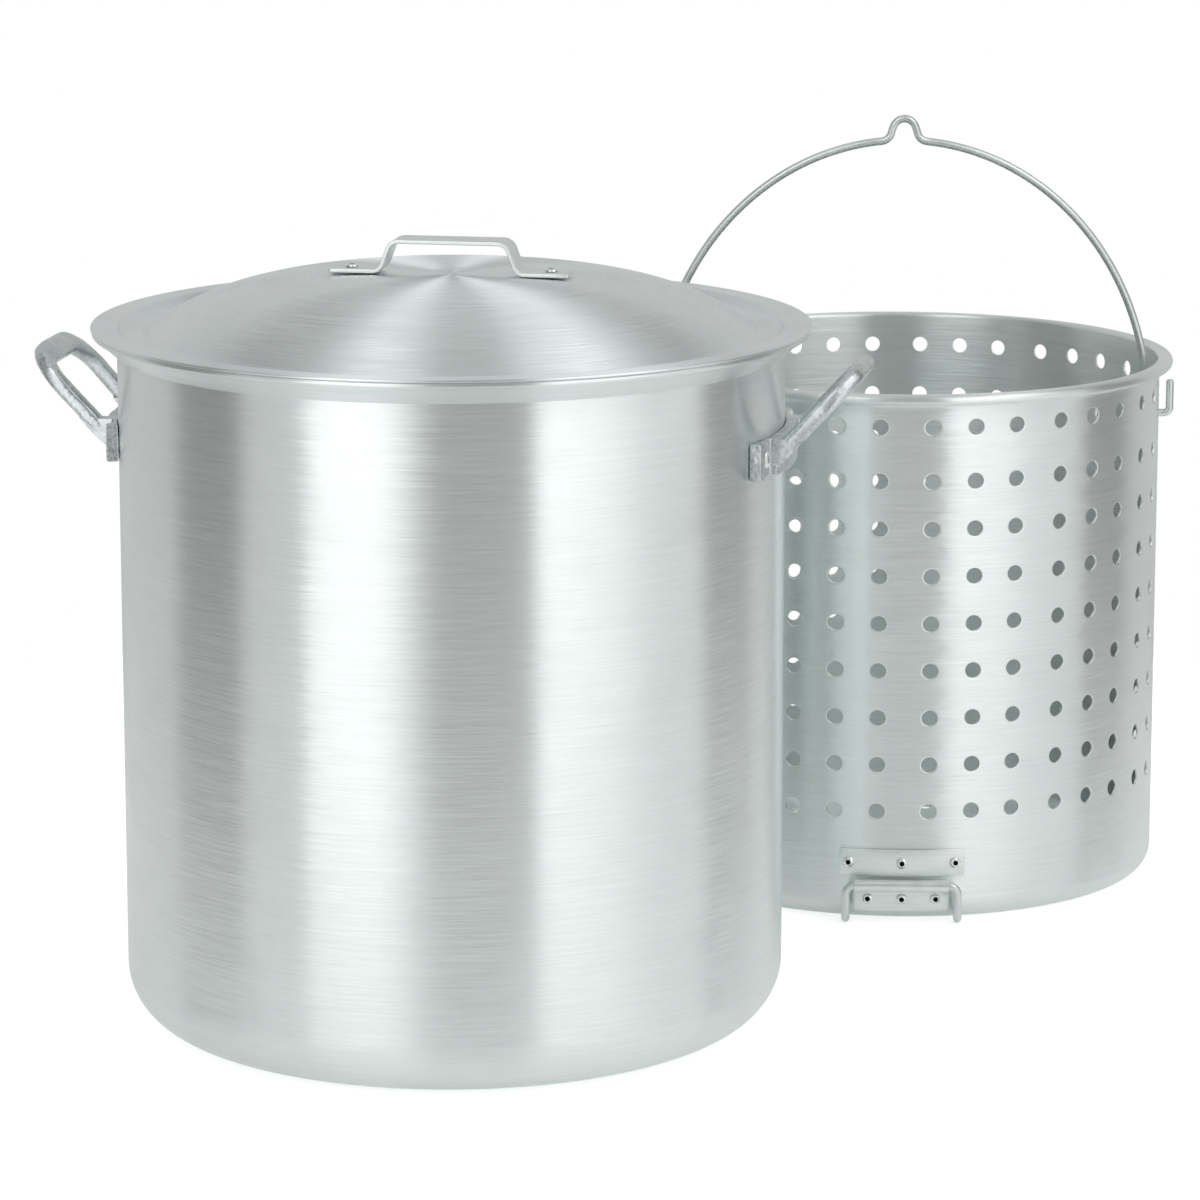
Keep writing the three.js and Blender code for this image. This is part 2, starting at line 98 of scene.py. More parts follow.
PLATE_HALF_DEG = 18.5
PLATE_Z = (429.0, 457.0)
PLATE_T = 9.5
GROOVE_DEG = (12.0, 16.3)
GROOVE_FLOOR = 4.5
HANDLE_RIVET_DEG = 13.9
LOOP_START = (254.0, 446.5)
LOOP_SLOPE_DEG = 47.0
LOOP_REACH = 82.0
LOOP_HALF_W = 56.0
LOOP_BASE_HALF_W = 53.0
LOOP_ARM = 13.0
LOOP_GRIP = 19.0
LOOP_T = 12.5
LOOP_BEND = 27.0
WEB_CORNER = (254.4, 438.0)

BASKET_TURN = 8.0
BASKET_R = 213.0
BASKET_SHEET = 2.0
BASKET_H = 431.0
BASKET_CORNER = 18.0
BEAD_R = 4.0
HOLE_R = 6.35
HOLE_GROUPS = 12
HOLE_STEP_DEG = 9.4
HOLE_ROWS = 9
HOLE_TOP_Z = 404.0
HOLE_FIRST_STEP = 43.5
HOLE_ROW_STEP = 38.5
BASE_RINGS = ((60.0, 6), (112.0, 12), (164.0, 18))

WIRE_R = 3.2
BAIL_PIVOT_Z = 381.0
BAIL_HALF_W = 204.0
BAIL_RISE = 226.0
BAIL_BEND = 4.6
BAIL_TIP = (222.4, 409.0)

STOP_HALF_W = 50.5
STOP_Z = (37.5, 60.0)
STOP_RIVET_X = (-42.5, 0.0, 42.5)
HINGE_HALF_W = 38.0
HINGE_BOTTOM = 9.0
HINGE_RIVET_X = (-27.0, 0.0, 27.0)
HINGE_RIVET_Z = 19.0
BRACKET_SHEET = 1.6
HOOK_WIRE_R = 3.3
HOOK_AXIS = (-220.6, 31.5)  # y and z in the basket's own frame
HOOK_HALF_W = 45.0
HOOK_FOOT_Z = 3.6
HOOK_TOE_Y = -207.0
BARREL_R = 5.0

basket_low, basket_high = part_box("basket_shell")
BASKET_AXIS = (basket_low + basket_high) / 2
BASKET_AXIS.z = 0.0
BASKET_PLACE = Matrix.Translation(BASKET_AXIS) @ Matrix.Rotation(math.radians(BASKET_TURN), 4, "Z")


# ---- small geometry helpers ---------------------------------------------------------------
def arc(cu, cv, r, start, end, steps):
    """Points of an arc in a plane, angles in degrees."""
    turns = np.radians(np.linspace(start, end, steps + 1))
    return [(cu + r * math.cos(t), cv + r * math.sin(t)) for t in turns]


def smooth_through(points, steps):
    """Catmull-Rom curve through a few points."""
    p = np.array(points, float)
    p = np.vstack([2 * p[0] - p[1], p, 2 * p[-1] - p[-2]])
    out = []
    for i in range(1, len(p) - 2):
        for t in np.arange(steps) / steps:
            a, b, c, d = p[i - 1 : i + 3]
            square = 2 * a - 5 * b + 4 * c - d
            cube = 3 * b - a - 3 * c + d
            out.append(0.5 * (2 * b + (c - a) * t + square * t**2 + cube * t**3))
    out.append(p[-2])
    return [tuple(q) for q in out]


def smoothstep(t):
    t = np.clip(t, 0.0, 1.0)
    return t * t * (3 - 2 * t)


class Shape:
    """Vertices and faces gathered in millimetres before they become one mesh."""

    def __init__(self):
        self.verts = []
        self.faces = []

    def grid(self, rows, close_u=True, close_v=False, flip=False):
        """Quads between rows of points; each row has the same number of points."""
        first = len(self.verts)
        n = len(rows[0])
        for row in rows:
            self.verts.extend(tuple(map(float, p)) for p in row)
        for i in range(len(rows) if close_v else len(rows) - 1):
            a, b = first + i * n, first + (i + 1) % len(rows) * n
            for k in range(n if close_u else n - 1):
                m = (k + 1) % n
                quad = (a + k, a + m, b + m, b + k)
                self.faces.append(quad[::-1] if flip else quad)

    def cap(self, points):
        first = len(self.verts)
        self.verts.extend(tuple(map(float, p)) for p in points)
        self.faces.append(tuple(range(first, first + len(points))))

    def object(self, name, merge=2e-6):
        mesh = bpy.data.meshes.new(name)
        mesh.from_pydata([tuple(c * MM for c in v) for v in self.verts], [], self.faces)
        bm = bmesh.new()
        bm.from_mesh(mesh)
        bmesh.ops.remove_doubles(bm, verts=bm.verts, dist=merge)
        bmesh.ops.dissolve_degenerate(bm, edges=bm.edges, dist=merge / 2)
        bmesh.ops.recalc_face_normals(bm, faces=bm.faces)
        bm.to_mesh(mesh)
        bm.free()
        piece = bpy.data.objects.new(name, mesh)
        bpy.context.scene.collection.objects.link(piece)
        return piece


def finish_piece(piece, body, nodes, material, sharp=35.0, place=None):
    """Shading, finish, place and frame bookkeeping of one new piece."""
    piece.data.materials.clear()
    piece.data.materials.append(material)
    piece.data.polygons.foreach_set("use_smooth", [True] * len(piece.data.polygons))
    piece.data.set_sharp_from_angle(angle=math.radians(sharp))
    if place is not None:
        piece.matrix_world = place
    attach(piece, body)
    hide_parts(*nodes)
    return piece


def paint_bore_shade(piece, radius):
    """The faces inside a rivet's hollow, within radius of its axis and facing in, get the painted shade
    material, which stands in for the shade in the hole.
    """
    # painted shade on the hollow's faces
    piece.data.materials.append(BORE_PAINTED_SHADE)
    for face in piece.data.polygons:
        out = math.hypot(face.center.x, face.center.y)
        level = face.normal.z
        inward = face.normal.x * face.center.x + face.normal.y * face.center.y < 0
        if out < radius * MM and (inward or (level > 0.5 and out < 0.7 * radius * MM)):
            face.material_index = 1


def ring_points(r, z, angles):
    return [(r * math.cos(a), r * math.sin(a), z) for a in angles]


def turned(profile, sides=TURNED_SIDES):
    """A turned shape about +Z from [radius, height] points."""
    angles = np.arange(sides) * 2 * math.pi / sides
    shape = Shape()
    shape.grid([ring_points(r, z, angles) for r, z in profile])
    return shape


def radial_place(deg, z):
    """Takes a shape turned about +Z to one about the outward radius at an angle and height."""
    return (
        Matrix.Rotation(math.radians(deg), 4, "Z")
        @ Matrix.Translation((0, 0, z * MM))
        @ Matrix.Rotation(math.pi / 2, 4, "Y")
    )


def swept(path, section, up):
    """Sweeps section(i) -> [(side, up), ...] along a path that never turns back along up."""
    path = [Vector(p) for p in path]
    shape = Shape()
    rows = []
    for i, p in enumerate(path):
        ahead = (path[min(i + 1, len(path) - 1)] - path[max(i - 1, 0)]).normalized()
        side = ahead.cross(Vector(up)).normalized()
        over = side.cross(ahead)
        rows.append([p + side * a + over * b for a, b in section(i)])
    shape.grid(rows)
    shape.cap(rows[0])
    shape.cap(rows[-1][::-1])
    return shape


def round_wire(path, radius, sides=20, rounding=0.7):
    """A round wire along a path, carried without twist, with its cut ends rounded over."""
    path = [Vector(p) for p in path]
    tangents = []
    for i in range(len(path)):
        tangents.append((path[min(i + 1, len(path) - 1)] - path[max(i - 1, 0)]).normalized())
    side = tangents[0].orthogonal().normalized()
    soft = radius * rounding

    def rounded_end(point, inward, tangent, turns):
        out = []
        for t in turns:
            centre = point + inward * soft * (1 - math.cos(t))
            out.append((centre, tangent, radius - soft * (1 - math.sin(t))))
        return out

    quarter = np.linspace(0, math.pi / 2, 5)
    stations = rounded_end(path[0], tangents[0], tangents[0], quarter)
    stations += [(p, t, radius) for p, t in zip(path[1:-1], tangents[1:-1])]
    stations += rounded_end(path[-1], -tangents[-1], tangents[-1], quarter[::-1])
    shape = Shape()
    rows = []
    for centre, tangent, r in stations:
        side = (side - tangent * side.dot(tangent)).normalized()
        over = tangent.cross(side)
        turns = np.arange(sides) * 2 * math.pi / sides
        rows.append([centre + side * r * math.cos(a) + over * r * math.sin(a) for a in turns])
    shape.grid(rows)
    shape.cap(rows[0])
    shape.cap(rows[-1][::-1])
    return shape


def rounded_box_section(w, t, r, steps=5):
    """Closed outline of a w by t rectangle with rounded corners."""
    r = min(r, w / 2 - 1e-3, t / 2 - 1e-3)
    out = []
    for su, sv, start in ((1, 1, 0), (-1, 1, 90), (-1, -1, 180), (1, -1, 270)):
        out += arc(su * (w / 2 - r), sv * (t / 2 - r), r, start, start + 90, steps)
    return out


# ---- materials ----------------------------------------------------------------------------
class Graph:
    """Short calls for building a node tree."""

    def __init__(self, tree):
        self.tree = tree
        tree.nodes.clear()

    def node(self, kind, inputs=None, **settings):
        made = self.tree.nodes.new(kind)
        for key, value in settings.items():
            setattr(made, key, value)
        for key, value in (inputs or {}).items():
            self.put(made.inputs[key], value)
        return made

    def put(self, socket, value):
        if isinstance(value, bpy.types.NodeSocket):
            self.tree.links.new(value, socket)
        elif isinstance(value, bpy.types.Node):
            self.tree.links.new(value.outputs[0], socket)
        else:
            socket.default_value = value

    def math(self, operation, *values):
        return self.node("ShaderNodeMath", dict(enumerate(values)), operation=operation).outputs[0]

    def vector(self, x, y, z):
        return self.node("ShaderNodeCombineXYZ", {0: x, 1: y, 2: z}).outputs[0]

    def noise(self, vector, scale=1.0, detail=2.0, roughness=0.5):
        made = self.node(
            "ShaderNodeTexNoise", {"Vector": vector, "Scale": scale, "Detail": detail, "Roughness": roughness}
        )
        return made.outputs[0]

    def spread(self, value, low, high, to_low=0.0, to_high=1.0):
        made = self.node(
            "ShaderNodeMapRange",
            {"Value": value, "From Min": low, "From Max": high, "To Min": to_low, "To Max": to_high},
        )
        return made.outputs[0]

    def blend(self, factor, a, b):
        made = self.node("ShaderNodeMix", data_type="RGBA")
        self.put(made.inputs["Factor"], factor)
        self.put(made.inputs[6], a)
        self.put(made.inputs[7], b)
        return made.outputs[2]


def new_material(name):
    material = bpy.data.materials.new(name)
    material.use_nodes = True
    return material, Graph(material.node_tree)


def metal_output(g, colour, roughness, normal, **fixed):
    """A metal surface; values in fixed are the same all over and sit on the shader itself."""
    shader = g.node(
        "ShaderNodeBsdfPrincipled",
        {"Base Color": colour, "Metallic": 1.0, "Roughness": roughness, "Normal": normal},
    )
    for key, value in fixed.items():
        g.put(shader.inputs[key.replace("_", " ")], value)
    g.node("ShaderNodeOutputMaterial", {"Surface": shader})


RAKE_ZONE = (0.196, 0.226)  # metres from the axis: the foot of the lid's dome


def spun_metal(name, tone, shade, rough, anisotropy, grow_r, grow_z, comb=0.09, rake=0.45, edge_rake=1.0):
    """Metal brushed in circles about the piece's own axis.

    The brush lines are level sets of grow_r * radius + grow_z * height. comb tilts single lines
    along the brushing and rake tilts them across it, edge_rake times as much beyond the lid's dome."""
    material, g = new_material(name)
    place = g.node("ShaderNodeTexCoord").outputs["Object"]
    x, y, z = g.node("ShaderNodeSeparateXYZ", {0: place}).outputs
    radius = g.math("SQRT", g.math("ADD", g.math("MULTIPLY", x, x), g.math("MULTIPLY", y, y)))
    rake = g.spread(radius, *RAKE_ZONE, rake, rake * edge_rake)
    across = g.math("ADD", g.math("MULTIPLY", radius, grow_r), g.math("MULTIPLY", z, grow_z))

    def streaks(round_scale, line_scale, detail, rough_share, shift=0.0):
        vector = g.vector(
            g.math("MULTIPLY", x, round_scale),
            g.math("MULTIPLY", y, round_scale),
            g.math("MULTIPLY_ADD", across, line_scale, shift),
        )
        return g.noise(vector, 1.0, detail, rough_share)

    hair = streaks(14.0, 1000.0, 3.0, 0.65)  # single brush lines
    band = streaks(3.0, 110.0, 3.0, 0.6)  # groups of lines
    tilt = streaks(22.0, 1500.0, 2.0, 0.6, 40.0)
    twist = streaks(9.0, 900.0, 2.0, 0.7, 90.0)
    cloud = g.noise(place, 7.0, 3.0, 0.55)  # handling marks
    smudge = g.noise(place, 23.0, 4.0, 0.6)
    lines = g.math("ADD", g.math("MULTIPLY", hair, 0.82), g.math("MULTIPLY", band, 0.18))
    mixed = g.math("ADD", g.math("MULTIPLY", lines, 0.8), g.math("MULTIPLY", cloud, 0.2))
    colour = g.blend(g.spread(mixed, 0.36, 0.64), (*shade, 1.0), (*tone, 1.0))
    matt = g.math("ADD", g.spread(band, 0.3, 0.7, -0.015, 0.02), g.spread(smudge, 0.42, 0.72, -0.01, 0.03))
    roughness = g.math("ADD", g.math("ADD", matt, g.spread(hair, 0.3, 0.7, -0.02, 0.02)), rough)

    tangent = g.node("ShaderNodeTangent", direction_type="RADIAL", axis="Z").outputs[0]
    normal = g.node("ShaderNodeNewGeometry").outputs["Normal"]
    over = g.node("ShaderNodeVectorMath", {0: normal, 1: tangent}, operation="CROSS_PRODUCT").outputs[0]
    for way, value, much in ((tangent, twist, comb), (over, tilt, rake)):
        amount = g.math("MULTIPLY", g.math("SUBTRACT", value, 0.5), much)
        push = g.node("ShaderNodeVectorMath", {0: way, 3: amount}, operation="SCALE").outputs[0]
        normal = g.node("ShaderNodeVectorMath", {0: normal, 1: push}, operation="ADD").outputs[0]
    normal = g.node("ShaderNodeVectorMath", {0: normal}, operation="NORMALIZE").outputs[0]
    metal_output(
        g, colour, roughness, normal,
        Anisotropic=anisotropy, Anisotropic_Rotation=0.25, Tangent=tangent,
    )
    return material


def cast_metal(name, tone, shade, rough):
    """Rough sand-cast metal: mottled, with a fine grain and a few pits."""
    material, g = new_material(name)
    place = g.node("ShaderNodeTexCoord").outputs["Object"]
    mottle = g.noise(place, 55.0, 4.0, 0.65)
    grain = g.noise(place, 520.0, 4.0, 0.7)
    worn = g.noise(place, 17.0, 2.0, 0.5)
    cells = g.node("ShaderNodeTexVoronoi", {"Vector": place, "Scale": 260.0, "Randomness": 1.0})
    pit = g.spread(cells.outputs["Distance"], 0.05, 0.32)
    mixed = g.math("ADD", g.math("MULTIPLY", mottle, 0.4), g.math("MULTIPLY", grain, 0.6))
    colour = g.blend(g.spread(mixed, 0.36, 0.6), (*shade, 1.0), (*tone, 1.0))
    polish = g.spread(worn, 0.45, 0.6, 0.06, -0.07)
    roughness = g.math("ADD", g.math("ADD", g.spread(grain, 0.3, 0.7, -0.08, 0.1), polish), rough)
    lift = g.math("ADD", g.math("MULTIPLY", mottle, 0.5), g.math("MULTIPLY", grain, 0.16))
    lift = g.math("ADD", lift, g.math("MULTIPLY", pit, 0.22))
    bump = g.node("ShaderNodeBump", {"Strength": 0.8, "Distance": 0.00024, "Height": lift})
    metal_output(g, colour, roughness, bump.outputs[0])
    return material


def drawn_metal(name, tone, shade, rough, run, stretch=(1.0, 1.0, 1.0), detail=4.0, relief=0.00004):
    """Drawn or rolled metal with fine lines; stretch makes them long in one direction of the piece."""
    material, g = new_material(name)
    place = g.node("ShaderNodeTexCoord").outputs["Object"]
    x, y, z = g.node("ShaderNodeSeparateXYZ", {0: place}).outputs
    vector = g.vector(*[g.math("MULTIPLY", c, k * run) for c, k in zip((x, y, z), stretch)])
    lines = g.noise(vector, 1.0, detail, 0.65)
    cloud = g.noise(place, 60.0, 3.0, 0.6)
    mixed = g.math("ADD", g.math("MULTIPLY", lines, 0.6), g.math("MULTIPLY", cloud, 0.4))
    colour = g.blend(g.spread(mixed, 0.36, 0.64), (*shade, 1.0), (*tone, 1.0))
    matt = g.math("ADD", g.spread(lines, 0.3, 0.7, -0.05, 0.06), g.spread(cloud, 0.4, 0.7, -0.03, 0.06))
    roughness = g.math("ADD", matt, rough)
    bump = g.node("ShaderNodeBump", {"Strength": 0.3, "Distance": relief, "Height": lines})
    metal_output(g, colour, roughness, bump.outputs[0])
    return material


def painted_hollow_shade(name):
    """Painted shade for the inside of a blind rivet's hollow: a near-black colour standing in for the shade
    deep in the hole.
    """
    material, g = new_material(name)
    hollow_shade_grain = g.noise(g.node("ShaderNodeTexCoord").outputs["Object"], 900.0, 2.0, 0.5)
    # painted shade: two near-black colours mixed by a fine noise
    colour = g.blend(hollow_shade_grain, (0.004, 0.004, 0.004, 1.0), (0.02, 0.02, 0.02, 1.0))
    shader = g.node(
        "ShaderNodeBsdfPrincipled", {"Base Color": colour, "Roughness": 0.9, "Specular IOR Level": 0.05}
    )
    g.node("ShaderNodeOutputMaterial", {"Surface": shader})
    return material


KETTLE_METAL = spun_metal(
    "kettle_aluminium", (0.865, 0.92, 0.91), (0.79, 0.84, 0.83), 0.33, 0.98, 0.5, 1.0
)
LID_METAL = spun_metal(
    "lid_aluminium", (0.92, 0.975, 0.97), (0.85, 0.90, 0.90), 0.38, 1.0, 1.0, -0.3, 0.07, 2.6, 0.35
)
BASKET_METAL = spun_metal(
    "basket_aluminium", (0.865, 0.92, 0.91), (0.79, 0.84, 0.83), 0.34, 0.97, 0.5, 1.0
)
CAST_METAL = cast_metal("cast_handle", (0.71, 0.755, 0.755), (0.45, 0.49, 0.49), 0.31)
PLATE_METAL = drawn_metal(
    "bright_plate", (0.84, 0.89, 0.875), (0.74, 0.79, 0.775), 0.33, 60.0, (0.4, 6.0, 14.0)
)
WIRE_METAL = drawn_metal(
    "bright_wire", (0.76, 0.81, 0.80), (0.66, 0.71, 0.70), 0.36, 45.0, detail=2.0, relief=0.00001
)
RIVET_METAL = drawn_metal("rivet", (0.93, 0.96, 0.95), (0.74, 0.78, 0.77), 0.24, 420.0)
# painted shade for the hollows of the blind rivets
BORE_PAINTED_SHADE = painted_hollow_shade("rivet_bore_painted_shade")


# ---- kettle ---------------------------------------------------------------------------------
RIM_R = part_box("kettle_shell")[1].x / MM


def kettle_profile():
    """Base, rounded corner, wall and flared rim outside, and the same inside."""
    inner = KETTLE_R - KETTLE_WALL
    corner = KETTLE_CORNER - KETTLE_WALL
    rim = smooth_through(
        [
            (KETTLE_R + 0.6, CREASE_Z + 0.1), (249.8, CREASE_Z + 1.9), (254.4, 514.4),
            (259.8, 519.4), (262.6, 521.2), (264.4, 521.9), (265.4, 523.6), (264.4, 525.6),
            (261.4, 525.6), (257.6, 523.4), (251.6, 518.6), (246, 512.4), (inner, FLARE_Z),
            (inner, FLARE_Z - 3),
        ],
        4,
    )
    rim = [(KETTLE_R, CREASE_Z - 3), (KETTLE_R, CREASE_Z - 0.3)] + rim
    return [
        (0, 0), (120, 0),
        *arc(KETTLE_R - KETTLE_CORNER, KETTLE_CORNER, KETTLE_CORNER, -90, 0, 20),
        *[(KETTLE_R, z) for z in np.linspace(120, 440, 5)],
        *[(min(r, RIM_R), z) for r, z in rim],
        *[(inner, z) for z in np.linspace(440, 120, 5)],
        *arc(inner - corner, KETTLE_FLOOR + corner, corner, 0, -90, 20),
        (120, KETTLE_FLOOR), (0, KETTLE_FLOOR),
    ]


shell = turned(kettle_profile()).object("kettle_wall")
finish_piece(shell, "kettle", ["kettle_shell"], KETTLE_METAL, 40)


def handle_plate():
    """The curved plate against the wall, thinned where each rivet sits."""
    shape = Shape()
    inner = KETTLE_R + GAP
    rows = []
    stations = np.linspace(-PLATE_HALF_DEG, PLATE_HALF_DEG, 150)
    middle, half_h = sum(PLATE_Z) / 2, (PLATE_Z[1] - PLATE_Z[0]) / 2
    for deg in stations:
        a = abs(deg)
        thin = smoothstep((a - GROOVE_DEG[0] + 0.3) / 0.6) * smoothstep((GROOVE_DEG[1] + 0.3 - a) / 0.6)
        thick = PLATE_T - GAP - (PLATE_T - GROOVE_FLOOR) * thin
        outline = rounded_box_section(thick, 2 * half_h, 1.6, 3)
        c, s = math.cos(math.radians(deg)), math.sin(math.radians(deg))
        centre = inner + thick / 2
        rows.append([((centre + u) * c, (centre + u) * s, middle + v) for u, v in outline])
    shape.grid(rows)
    shape.cap(rows[0])
    shape.cap(rows[-1][::-1])
    return shape


def handle_loop():
    """The cast loop: an arm from each end of the plate and a broad grip across the far end."""
    slope = math.radians(LOOP_SLOPE_DEG)
    arm_v = LOOP_BASE_HALF_W - LOOP_ARM / 2
    far_v = LOOP_HALF_W - LOOP_ARM / 2
    grip_u = LOOP_REACH - LOOP_GRIP / 2
    buried = 9.0  # how far each arm starts behind its visible foot
    half = [(-buried, arm_v)]
    straight = grip_u - LOOP_BEND
    for t in np.linspace(0.06, 1, 16):
        half.append((-buried + (straight + buried) * t, arm_v + (far_v - arm_v) * t))
    half += arc(straight, far_v - LOOP_BEND, LOOP_BEND, 90, 0, 18)[1:]
    half += [(grip_u, v) for v in np.linspace(far_v - LOOP_BEND, 0, 8)[1:]]
    path = half + [(u, -v) for u, v in half[-2::-1]]
    travel = np.r_[0, np.cumsum(np.linalg.norm(np.diff(np.array(path), axis=0), axis=1))]
    share = travel / travel[-1]

    def section(i):
        near_grip = smoothstep((0.5 - abs(share[i] - 0.5) - 0.24) / 0.2)
        width = LOOP_ARM + (LOOP_GRIP - LOOP_ARM) * near_grip
        tall = LOOP_T + 0.6 * near_grip
        k = 0.72  # between a rectangle and an ellipse
        out = []
        for a in np.radians(np.arange(0, 360, 15)):
            c, s = math.cos(a), math.sin(a)
            out.append((math.copysign(abs(c) ** k, c) * width / 2, math.copysign(abs(s) ** k, s) * tall / 2))
        return out

    along = Vector((math.cos(slope), 0, math.sin(slope)))
    up = Vector((-math.sin(slope), 0, math.cos(slope)))
    start = Vector((LOOP_START[0], 0, LOOP_START[1]))
    return swept([start + along * u + Vector((0, v, 0)) for u, v in path], section, up)


def handle_webs():
    """The two gussets between the plate and the arms."""
    shape = Shape()
    low, high = WEB_CORNER[1], PLATE_Z[1] - 0.5
    run = (high - low) / math.tan(math.radians(LOOP_SLOPE_DEG))
    corner = WEB_CORNER[0]
    for side in (-1, 1):
        rows = []
        for v in np.linspace(LOOP_BASE_HALF_W - LOOP_ARM - 0.3, LOOP_BASE_HALF_W + 0.3, 5):
            wall_x = math.sqrt((KETTLE_R + GAP) ** 2 - v**2)
            outline = [(wall_x, low), (corner, low), (corner + run, high), (wall_x, high)]
            rows.append([(x, side * v, z) for x, z in outline])
        shape.grid(rows)
        shape.cap(rows[0])
        shape.cap(rows[-1][::-1])
    return shape


def cast_handle():
    """One casting: the parts flow together with small fillets and a slightly uneven skin."""
    parts = [part.object("handle_part") for part in (handle_plate(), handle_loop(), handle_webs())]
    joined = bmesh.new()
    for part in parts:
        joined.from_mesh(part.data)
    rough = bpy.data.meshes.new("handle_rough")
    joined.to_mesh(rough)
    joined.free()
    blank = bpy.data.objects.new("handle_blank", rough)
    bpy.context.scene.collection.objects.link(blank)
    remesh = blank.modifiers.new("union", "REMESH")
    remesh.mode = "VOXEL"
    remesh.voxel_size = 0.7 * MM
    soften = blank.modifiers.new("fillets", "SMOOTH")
    soften.factor = 0.5
    soften.iterations = 1
    graph = bpy.context.evaluated_depsgraph_get()
    mesh = bpy.data.meshes.new_from_object(blank.evaluated_get(graph))
    for piece in (*parts, blank):
        bpy.data.objects.remove(piece)
    mesh.name = "cast_handle"
    return mesh


def cast_skin(mesh, seed):
    """Uneven casting skin: each point moves a little along its normal, never into the wall."""
    offset = Vector((seed, 2 * seed, 3 * seed))
    moved = []
    for v in mesh.vertices:
        p = v.co
        n1 = noise.noise(p * 90 + offset)
        n2 = noise.noise(p * 330 + offset)
        q = p + v.normal * (0.34 * n1 + 0.2 * n2 - 0.1) * MM
        r = math.hypot(q.x, q.y)
        least = (KETTLE_R + 0.12) * MM
        if r < least:
            q = Vector((q.x * least / r, q.y * least / r, q.z))
        moved.append(q)
    mesh.vertices.foreach_set("co", [c for q in moved for c in q])
    mesh.update()


handle_mesh = cast_handle()
for side, turn, seed in (("right", 0.0, 3.7), ("left", math.pi, 11.3)):
    mesh = handle_mesh.copy()
    cast_skin(mesh, seed)
    loop = bpy.data.objects.new(f"cast_handle_{side}", mesh)
    bpy.context.scene.collection.objects.link(loop)
    finish_piece(
        loop, "kettle", [f"side_handle_{side}"], CAST_METAL, 60, Matrix.Rotation(turn, 4, "Z")
    )


def dome_head(base, radius, height, shank, depth, sides=40):
    """A rivet about +Z: a shank up to base, and a rounded head on it."""
    profile = [(0, base - depth), (shank, base - depth), (shank, base)]
    profile += [(radius - 0.3, base), (radius, base + 0.3)]
    flat = 0.22 * height
    for t in np.radians(np.linspace(0, 90, 9)):
        profile.append((radius * math.cos(t), base + flat + (height - flat) * math.sin(t)))
    return turned(profile, sides)


def handle_rivet():
    """Head in the plate's groove and a lower head inside the kettle, about +Z as the outward radius."""
    shank = 2.1
    out = dome_head(KETTLE_R + GROOVE_FLOOR + GAP, 6.6, 3.25, shank, 11.0)
    inner = [(0, 239.6), (2.4, 239.8), (4.4, 240.6), (5.8, 242.0), (5.8, 242.3), (shank, 242.3), (shank, 246)]
    angles = np.arange(40) * 2 * math.pi / 40
    out.grid([ring_points(r, z, angles) for r, z in inner])
    out.cap(ring_points(shank, 246, angles))
    return out


for side, turn in (("right", 0.0), ("left", 180.0)):
    for end, s in (("front", -1), ("back", 1)):
        piece = handle_rivet().object(f"rivet_{side}_{end}")
        place = radial_place(turn + s * HANDLE_RIVET_DEG, sum(PLATE_Z) / 2)
        finish_piece(piece, "kettle", [f"handle_rivet_{side}_{end}"], RIVET_METAL, 40, place)


# ---- lid ------------------------------------------------------------------------------------
def dome_top(r):
    return LID_RECESS_TOP + DOME_RISE * (1 - (r / DOME_R) ** DOME_POWER)


def lid_profile():
    """Crown, cove, sunk ring, step and flange on top, and the same sheet underneath."""
    crown = [(r, dome_top(r)) for r in np.linspace(0, DOME_R - 7, 44)]
    cove = smooth_through(
        [
            crown[-1], (DOME_R - 4.4, dome_top(DOME_R - 4.4) + 0.05),
            (DOME_R - 1.6, LID_RECESS_TOP + 1.35), (DOME_R + 1.4, LID_RECESS_TOP + 0.15),
            (DOME_R + 5, LID_RECESS_TOP - 0.05), (DOME_R + 9, LID_RECESS_TOP),
        ],
        5,
    )
    step = smooth_through(
        [
            (LID_RECESS_R - 6, LID_RECESS_TOP), (LID_RECESS_R - 3.2, LID_RECESS_TOP + 0.5),
            (LID_RECESS_R - 1, LID_RECESS_TOP + 2.4), (LID_RECESS_R + 0.6, LID_FLANGE_TOP - 1.3),
            (LID_RECESS_R + 2.4, LID_FLANGE_TOP - 0.1), (LID_RECESS_R + 5, LID_FLANGE_TOP),
        ],
        4,
    )
    edge = arc(LID_FLANGE_R - 0.9, LID_FLANGE_TOP - 0.9, 0.9, 90, -90, 8)
    edge = [(r, z if z > LID_FLANGE_TOP - 0.9 else z - 0.2) for r, z in edge]
    top = crown + cove[1:] + step + [(r, LID_FLANGE_TOP) for r in (255, 260)] + edge
    lower = LID_FLANGE_TOP - LID_SHEET
    under = [
        (LID_RECESS_R + 6, lower), (LID_RECESS_R + 2.6, lower), (LID_RECESS_R + 0.6, lower - 1.4),
        (LID_RECESS_R - 1.2, LID_RECESS_TOP - LID_SHEET), (DOME_R, LID_RECESS_TOP - LID_SHEET),
    ]
    inside = [(r - 0.9 if r > 5 else r, dome_top(r) - LID_SHEET) for r in np.linspace(DOME_R - 4, 0, 30)]
    return top + under + inside


lid = turned(lid_profile()).object("lid_disc")
finish_piece(lid, "lid", ["lid_shell"], LID_METAL, 50)

STRAP_Z = dome_top(0) + GAP


def hollow_head(face, radius, height, hole):
    """Profile of a blind rivet's head from its rim inward and down its dark hollow."""
    crown = [
        (radius - 0.2, face), (radius, face + 0.25), (0.86 * radius, face + 0.62 * height),
        (0.62 * radius, face + 0.96 * height), (hole + 0.75, face + height),
        (hole + 0.1, face + 0.8 * height),
    ]
    return crown[:1] + smooth_through(crown[1:], 5) + [(hole, face - 0.1), (0, face - 0.2)]


